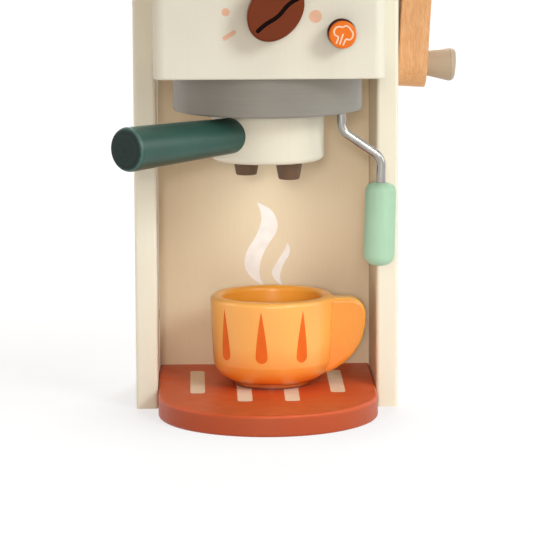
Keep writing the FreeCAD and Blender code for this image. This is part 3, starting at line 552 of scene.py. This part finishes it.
# Some nodes carry tones of their own. The left side panel's cream is lighter and the right one's
# darker:
# painted light and painted shade on one paint, for the head's shadow on the left and the light on
# the right.
# The back panel's warmer, darker cream is painted warm shade inside the bay. The cup's handle
# carries a deeper yellow than the cup.
node_tones = {
    "left_side_panel": painted("left_cream_painted_light", LEFT_CREAM_PAINTED_LIGHT, **BOARD),
    "right_side_panel": painted("right_cream_painted_shade", RIGHT_CREAM_PAINTED_SHADE, **BOARD),
    "back_panel": painted("back_cream_painted_shade", BACK_CREAM_PAINTED_SHADE, **BOARD),
    "cup_handle": cup_paint("fin_yellow", FIN_YELLOW, FIN_EDGE_HIGHLIGHT),
}


def finish_nodes():
    """Every solid of the frame gets the material of its slot, or of its own tone."""
    node_slots = {}
    for material in frame["record"]["materials"]:
        for node in material.get("nodes", []):
            node_slots[node] = material["slot"]
    for name, node in frame["nodes"].items():
        slot = node_slots.get(name) or node.data.materials[0].name.split(".")[0]
        node.material_slots[0].material = node_tones.get(name, finishes[slot]).material


finish_nodes()


# Camera

def aim_camera():
    """A camera at the photograph's viewpoint."""
    level = math.cos(CAMERA_PITCH)
    ahead = Vector((math.sin(CAMERA_YAW) * level, math.cos(CAMERA_YAW) * level,
                    -math.sin(CAMERA_PITCH)))
    right = ahead.cross(UP).normalized()
    up = right.cross(ahead)
    turn = Matrix.Rotation(-CAMERA_ROLL, 3, ahead)
    axes = Matrix([turn @ right, turn @ up, -ahead])
    camera = bpy.data.objects.new("camera", bpy.data.cameras.new("camera"))
    camera.data.sensor_width = CAMERA_SENSOR
    camera.data.lens = CAMERA_LENS
    camera.data.clip_end = CAMERA_REACH
    camera.matrix_world = Matrix.Translation(CAMERA_PLACE) @ axes.transposed().to_4x4()
    scene.collection.objects.link(camera)
    scene.camera = camera


aim_camera()


# Floor, surround and light

FLOOR_REACH = 3.0
FLOOR_ROUGH = 0.9
FLOOR_GLOW = 1.07
# How much of the floor is plain white rather than shaded: by its place front to back, and by its
# distance from the middle, where it is all plain in the end
PLAIN_DEPTHS, PLAIN_FRONT, PLAIN_UNDER = (-0.12, 0.02), 0.85, 0.55
PLAIN_DISTANCES = (0.2, 0.7)


def make_floor():
    """A white floor that keeps the object's shadow."""
    reach = FLOOR_REACH
    mesh = bpy.data.meshes.new("floor")
    corners = [(-reach, -reach, 0), (reach, -reach, 0), (reach, reach, 0), (-reach, reach, 0)]
    mesh.from_pydata(corners, [], [(0, 1, 2, 3)])
    floor = bpy.data.objects.new("floor", mesh)
    scene.collection.objects.link(floor)
    finish = Finish("floor_white")
    finish.colour(finish.mix(finish.noise(60), FLOOR_DARK, FLOOR_LIGHT))
    finish.set(Roughness=FLOOR_ROUGH)
    glow = finish.add("ShaderNodeEmission", {"Strength": FLOOR_GLOW}).outputs[0]
    path = finish.add("ShaderNodeLightPath").outputs
    seen = finish.math("MAXIMUM", path["Is Camera Ray"], path["Is Glossy Ray"])
    seen = finish.math("MAXIMUM", seen, path["Is Transmission Ray"])
    away = finish.measure("LENGTH", finish.place)
    near = finish.levels(finish.axis("Y"), *PLAIN_DEPTHS, PLAIN_FRONT, PLAIN_UNDER)
    far = finish.levels(away, *PLAIN_DISTANCES, PLAIN_UNDER, 1.0)
    share = finish.math("MULTIPLY", seen, finish.math("MAXIMUM", near, far))
    blend = finish.add("ShaderNodeMixShader", {0: share, 1: finish.shader.outputs[0], 2: glow})
    output = finish.tree.nodes["Material Output"]
    finish.tree.links.new(blend.outputs[0], output.inputs["Surface"])
    mesh.materials.append(finish.material)


LIT_COLOUR = (1.0, 0.985, 0.96, 1.0)
LIT_STRENGTH = 0.08


def make_world():
    """A white surround, at full white where the camera or a reflection sees it."""
    world = bpy.data.worlds.new("studio")
    scene.world = world
    world.use_nodes = True
    nodes = world.node_tree.nodes
    links = world.node_tree.links
    path = nodes.new("ShaderNodeLightPath")
    lit = nodes["Background"]
    lit.inputs["Color"].default_value = LIT_COLOUR
    lit.inputs["Strength"].default_value = LIT_STRENGTH
    seen = nodes.new("ShaderNodeBackground")
    seen.inputs["Color"].default_value = (1, 1, 1, 1)
    seen.inputs["Strength"].default_value = 1.0
    share = path.outputs["Is Camera Ray"]
    for ray in ("Is Glossy Ray", "Is Transmission Ray"):
        either = nodes.new("ShaderNodeMath")
        either.operation = "MAXIMUM"
        links.new(share, either.inputs[0])
        links.new(path.outputs[ray], either.inputs[1])
        share = either.outputs[0]
    mix = nodes.new("ShaderNodeMixShader")
    links.new(share, mix.inputs[0])
    links.new(lit.outputs[0], mix.inputs[1])
    links.new(seen.outputs[0], mix.inputs[2])
    links.new(mix.outputs[0], nodes["World Output"].inputs["Surface"])


# Lamps: the direction from the object's middle, the width, the power and the colour
LAMP_DISTANCE = 1.8
OBJECT_MIDDLE = Vector((0, 0, 130 * MM))
LAMPS = {
    "key": ((0.75, -1.0, 0.6), 0.6, 12.9, (240, 246, 246)),
    "fill": ((-0.05, -1.0, 0.15), 1.1, 5.2, (255, 238, 218)),
    "over": ((0.4, -0.5, 1.0), 0.8, 4.2, WHITE),
    "left": ((-1.0, 0.05, 0.35), 1.0, 8.0, (255, 240, 230)),
    "right": ((1.0, -0.15, 0.35), 1.0, 7.0, (252, 255, 248)),
    "rear": ((0.15, 1.0, 0.5), 1.1, 20.0, WHITE),
    "above": ((0.0, 0.4, 1.0), 1.0, 9.0, WHITE),
}
# Spots: the direction from the target, the target, the cone in degrees, the lamp's own radius,
# the power and the colour
SPOT_DISTANCE = 1.9
SPOTS = {
    "bay": ((-0.06, -1.0, 0.17), Vector((0.03, 0.03, 0.066)), 7.4, 0.12, 76.0, (255, 250, 244)),
    "panel": ((-0.02, -1.0, 0.12), Vector((0.015, 0.068, 0.092)), 2.7, 0.015, 21.0,
              (255, 250, 246)),
}


def set_light(name, data, power, tone, target, toward, distance):
    """A light of this power and colour, turned to its target."""
    data.energy = power
    data.color = linear(tone)[:3]
    light = bpy.data.objects.new(name, data)
    light.location = target + Vector(toward).normalized() * distance
    light.rotation_euler = (target - light.location).to_track_quat("-Z", "Y").to_euler()
    scene.collection.objects.link(light)


def make_lights():
    """Round soft lamps, and soft spots of light that fade out towards their edges."""
    for name, (toward, size, power, tone) in LAMPS.items():
        data = bpy.data.lights.new(name, "AREA")
        data.shape = "DISK"
        data.size = size
        set_light(name, data, power, tone, OBJECT_MIDDLE, toward, LAMP_DISTANCE)
    for name, (toward, target, cone, softness, power, tone) in SPOTS.items():
        data = bpy.data.lights.new(name, "SPOT")
        data.spot_size = math.radians(cone)
        data.spot_blend = 1.0
        data.shadow_soft_size = softness
        set_light(name, data, power, tone, target, toward, SPOT_DISTANCE)


make_floor()
make_world()
make_lights()


# Prints: thin films of ink, built as rows across a shape. Their sizes are in millimetres.

INK = 0.05 * MM                       # how far a print stands out of what it is on
SAME_POINT = 0.002 * MM
BAR_STEPS, DROP_STEPS, WISP_STEPS, LINE_STEPS, PUFF_STEPS = 24, 36, 48, 40, 150


def film(name, rows, finish, body):
    """A piece of ink from rows of as many points each. Rows may close to a point at the ends."""
    mesh = bpy.data.meshes.new(name)
    build = bmesh.new()
    grid = [[build.verts.new(point) for point in row] for row in rows]
    for low, high in zip(grid, grid[1:]):
        for index in range(len(low) - 1):
            build.faces.new((low[index], low[index + 1], high[index + 1], high[index]))
    bmesh.ops.remove_doubles(build, verts=build.verts, dist=SAME_POINT)
    bmesh.ops.recalc_face_normals(build, faces=build.faces)
    build.to_mesh(mesh)
    build.free()
    mesh.materials.append(finish.material)
    piece = bpy.data.objects.new(name, mesh)
    scene.collection.objects.link(piece)
    for polygon in mesh.polygons:
        polygon.use_smooth = True
    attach(piece, body)


def steps(count):
    """Shares from 0 to 1, closer together towards both ends."""
    return [(1 - math.cos(math.pi * index / count)) / 2 for index in range(count + 1)]


def across(count):
    """Evenly spaced shares from -1 to 1."""
    return [2 * index / count - 1 for index in range(count + 1)]


def on_plane(origin, right, up, out):
    """A function that places a print's flat coordinates on a plane."""
    def place(x, y):
        return origin + (right * x + up * y) * MM + out * INK
    return place


def bar_rows(place, width, length, corner):
    """Rows of a bar with rounded corners, centred on the place."""
    rows = []
    for share in steps(BAR_STEPS):
        y = (share - 0.5) * length
        depth = min(corner, length / 2 - abs(y))
        half = width / 2 - corner + math.sqrt(max(0, corner ** 2 - (corner - depth) ** 2))
        rows.append([place(half * side, y) for side in across(6)])
    return rows


DOTS = {"small_dot": (-22.4, 224.5, 2.1), "large_dot": (23.7, 222.0, 3.3)}   # x, z and radius
DASH_LOW, DASH_HIGH = Vector((-24.0, 210.4)), Vector((-17.3, 214.7))
DASH_WIDTH = 2.3


def head_marks():
    """Two dots and a dash round the dial."""
    peach = ink("peach_ink", PEACH)
    place = on_plane(Vector((0, head_front, 0)), RIGHT, UP, FRONT)
    for name, (x, z, radius) in DOTS.items():
        rows = bar_rows(lambda u, v: place(x + u, z + v), 2 * radius, 2 * radius, radius)
        film("print_" + name, rows, peach, "frame")
    along = (DASH_HIGH - DASH_LOW).normalized()
    side = Vector((along.y, -along.x))
    middle = (DASH_LOW + DASH_HIGH) / 2

    def dash_place(u, v):
        spot = middle + side * u + along * v
        return place(spot.x, spot.y)

    length = (DASH_HIGH - DASH_LOW).length
    rows = bar_rows(dash_place, DASH_WIDTH, length, DASH_WIDTH / 2)
    film("print_dash", rows, peach, "frame")


STRIPES = {"a": (-38.3, 15.0), "b": (-12.8, -8.5), "c": (12.8, -8.5), "d": (38.3, 15.0)}   # x and y
STRIPE_WIDTH, STRIPE_LENGTH, STRIPE_CORNER = 8.0, 65.0, 2.2


def tray_stripes():
    """Four bars across the tray, the inner pair further forward."""
    cream = ink("stripe_ink", STRIPE_CREAM)
    for name, (x, y) in STRIPES.items():
        place = on_plane(Vector((x * MM, y * MM, tray_top)), RIGHT, BACK, UP)
        rows = bar_rows(place, STRIPE_WIDTH, STRIPE_LENGTH, STRIPE_CORNER)
        film("print_stripe_" + name, rows, cream, "frame")


# Cup drops: their heights over the tray, half width and taper, and their places round the cup
DROP_LOW, DROP_HIGH, DROP_HALF, DROP_TAPER = 16.6, 45.6, 3.3, 1.35
DROP_COUNT, DROP_FIRST, DROP_APART = 7, 28.5, 40


def cup_place(angle, height):
    """A point on the cup's wall, at an angle from the front and a height over the tray."""
    share = (height - BELLY_HEIGHT) / (RIM_HEIGHT - BELLY_HEIGHT)
    radius = (BELLY_RADIUS + (RIM_RADIUS - BELLY_RADIUS) * share) * MM + INK
    return CUP_AXIS + Vector((radius * math.sin(angle), -radius * math.cos(angle), height * MM))


def drop_half(above):
    """A drop's half width at a height above its lowest point."""
    if above < DROP_HALF:
        return math.sqrt(DROP_HALF ** 2 - (DROP_HALF - above) ** 2)
    taper = (above - DROP_HALF) / (DROP_HIGH - DROP_LOW - DROP_HALF)
    return DROP_HALF * (1 - taper ** DROP_TAPER)


def cup_drops():
    """Long drops round the cup, pointed above and round below. None stands beside the handle."""
    orange = ink("drop_ink", DROP_ORANGE)
    for index in range(DROP_COUNT):
        middle = math.radians(DROP_FIRST - DROP_APART * index)
        rows = []
        for share in steps(DROP_STEPS):
            height = DROP_LOW + (DROP_HIGH - DROP_LOW) * share
            turn = drop_half(height - DROP_LOW) / BELLY_RADIUS
            rows.append([cup_place(middle + turn * side, height) for side in across(8)])
        film(f"print_drop_{index + 1}", rows, orange, "cup")


def smooth_line(points, count):
    """Points on a smooth curve through a few given ones."""
    ends = [points[0] * 2 - points[1]] + points + [points[-1] * 2 - points[-2]]
    line = []
    spans = len(points) - 1
    for index in range(count + 1):
        along = min(index / count * spans, spans - 1e-6)
        first = int(along)
        t = along - first
        a, b, c, d = ends[first:first + 4]
        line.append(0.5 * ((2 * b) + (c - a) * t + (2 * a - 5 * b + 4 * c - d) * t ** 2
                           + (3 * b - a - 3 * c + d) * t ** 3))
    return line


# Wisps of steam, from the top down: x and height of the middle, half width and slant
LARGE_WISP = [
    (-3.7, 104.9, 0.0, 0.0), (1.2, 99.6, 2.9, 0.9), (2.9, 92.9, 4.8, 0.6), (0.9, 86.0, 6.0, 1.4),
    (-3.2, 79.6, 6.0, 1.6), (-6.0, 72.6, 5.0, 1.0), (-6.6, 65.8, 3.9, -0.9),
    (-3.6, 59.8, 2.9, -1.4), (2.8, 55.1, 0.0, 0.0)]
SMALL_WISP = [
    (13.4, 81.8, 0.0, 0.0), (13.2, 78.0, 1.5, 0.4), (11.6, 74.0, 2.7, 0.9), (9.2, 69.9, 2.9, 1.1),
    (7.3, 66.0, 2.7, 0.4), (6.9, 62.6, 2.2, -0.4), (8.5, 58.9, 1.5, -0.6), (12.4, 55.1, 0.0, 0.0)]
WISP_LEAST = 0.02
STEAM_COAT, STEAM_COAT_ROUGH = 1.0, 0.25


def wisp_rows(place, stations):
    """Rows of a wisp of steam, through its stations."""
    middle = smooth_line([Vector((x, z)) for x, z, half, slant in stations], WISP_STEPS)
    shape = smooth_line([Vector((half, slant)) for x, z, half, slant in stations], WISP_STEPS)
    rows = []
    for spot, (half, slant) in zip(middle, shape):
        half = max(half, WISP_LEAST)
        rows.append([place(spot.x + half * side, spot.y + slant * side) for side in across(8)])
    return rows


def steam_wisps():
    """Two wisps of steam on the back panel, above the cup."""
    white = glossy(ink("steam_ink", STEAM_WHITE), STEAM_COAT, STEAM_COAT_ROUGH)
    place = on_plane(Vector((0, back_wall, 0)), RIGHT, UP, FRONT)
    film("print_steam_large", wisp_rows(place, LARGE_WISP), white, "frame")
    film("print_steam_small", wisp_rows(place, SMALL_WISP), white, "frame")


END_TURNS = (30, 60, 90)
STROKE_LEAST = 0.01


def round_end(station, half, way, turns):
    """The last places, sides and half widths of a drawn line, beyond its first or last station."""
    spot, side, along = station
    end = []
    for turn in turns:
        reach = half * math.sin(math.radians(turn))
        end.append((spot + along * (way * reach), side, half * math.cos(math.radians(turn))))
    return end


def stroke_rows(place, points, width, count):
    """Rows of a drawn line of even width with round ends, through a few points."""
    line = smooth_line([Vector(point) for point in points], count)
    stations = []
    for index, spot in enumerate(line):
        before = line[max(index - 1, 0)]
        after = line[min(index + 1, count)]
        along = (after - before).normalized()
        stations.append((spot, Vector((along.y, -along.x)), along))
    half = width / 2
    shape = round_end(stations[0], half, -1, reversed(END_TURNS))
    shape += [(spot, side, half) for spot, side, along in stations]
    shape += round_end(stations[-1], half, 1, END_TURNS)
    rows = []
    for spot, side, half in shape:
        row = [spot + side * max(half, STROKE_LEAST) * share for share in across(4)]
        rows.append([place(point.x, point.y) for point in row])
    return rows


# The button's mark, from its middle
MARK_TILT = math.radians(-12)
PUFF = [
    (-2.3, -4.8), (-2.0, -1.6), (-3.9, -0.8), (-4.7, 1.2), (-3.9, 3.1), (-2.1, 3.9), (-0.8, 3.8),
    (0.7, 4.9), (2.6, 4.3), (3.6, 3.3), (4.9, 2.0), (5.1, -0.1), (4.0, -1.7), (2.1, -1.9),
    (1.3, -4.9)]
PUFF_WIDTH = 0.8
JET = [(-0.5, -4.9), (-0.2, -2.3), (0.1, 0.3)]
JET_WIDTH = 0.76


def button_mark():
    """A puff of steam whose outline runs down into two lines, with a third between them."""
    pink = ink("icon_ink", ICON_PINK)
    low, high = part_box("button_cap")
    middle = Vector(((low.x + high.x) / 2, low.y, (low.z + high.z) / 2))
    right = Vector((math.cos(MARK_TILT), 0, math.sin(MARK_TILT)))
    up = Vector((-math.sin(MARK_TILT), 0, math.cos(MARK_TILT)))
    place = on_plane(middle, right, up, FRONT)
    film("print_puff", stroke_rows(place, PUFF, PUFF_WIDTH, PUFF_STEPS), pink,
         "steam_button")
    film("print_line", stroke_rows(place, JET, JET_WIDTH, LINE_STEPS), pink,
         "steam_button")


def pressed_spring():
    """The button's spring, as a copy of its own mesh in spring steel, riding on the frame."""
    node = frame["nodes"]["button_spring"]
    spring = bpy.data.objects.new("coil_spring", node.data.copy())
    scene.collection.objects.link(spring)
    spring.data.materials.clear()
    spring.data.materials.append(finishes["spring_steel"].material)
    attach(spring, "frame")
    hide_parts("button_spring")
    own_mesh(spring)


head_marks()
tray_stripes()
cup_drops()
steam_wisps()
button_mark()
pressed_spring()

scene.view_settings.view_transform = "Standard"
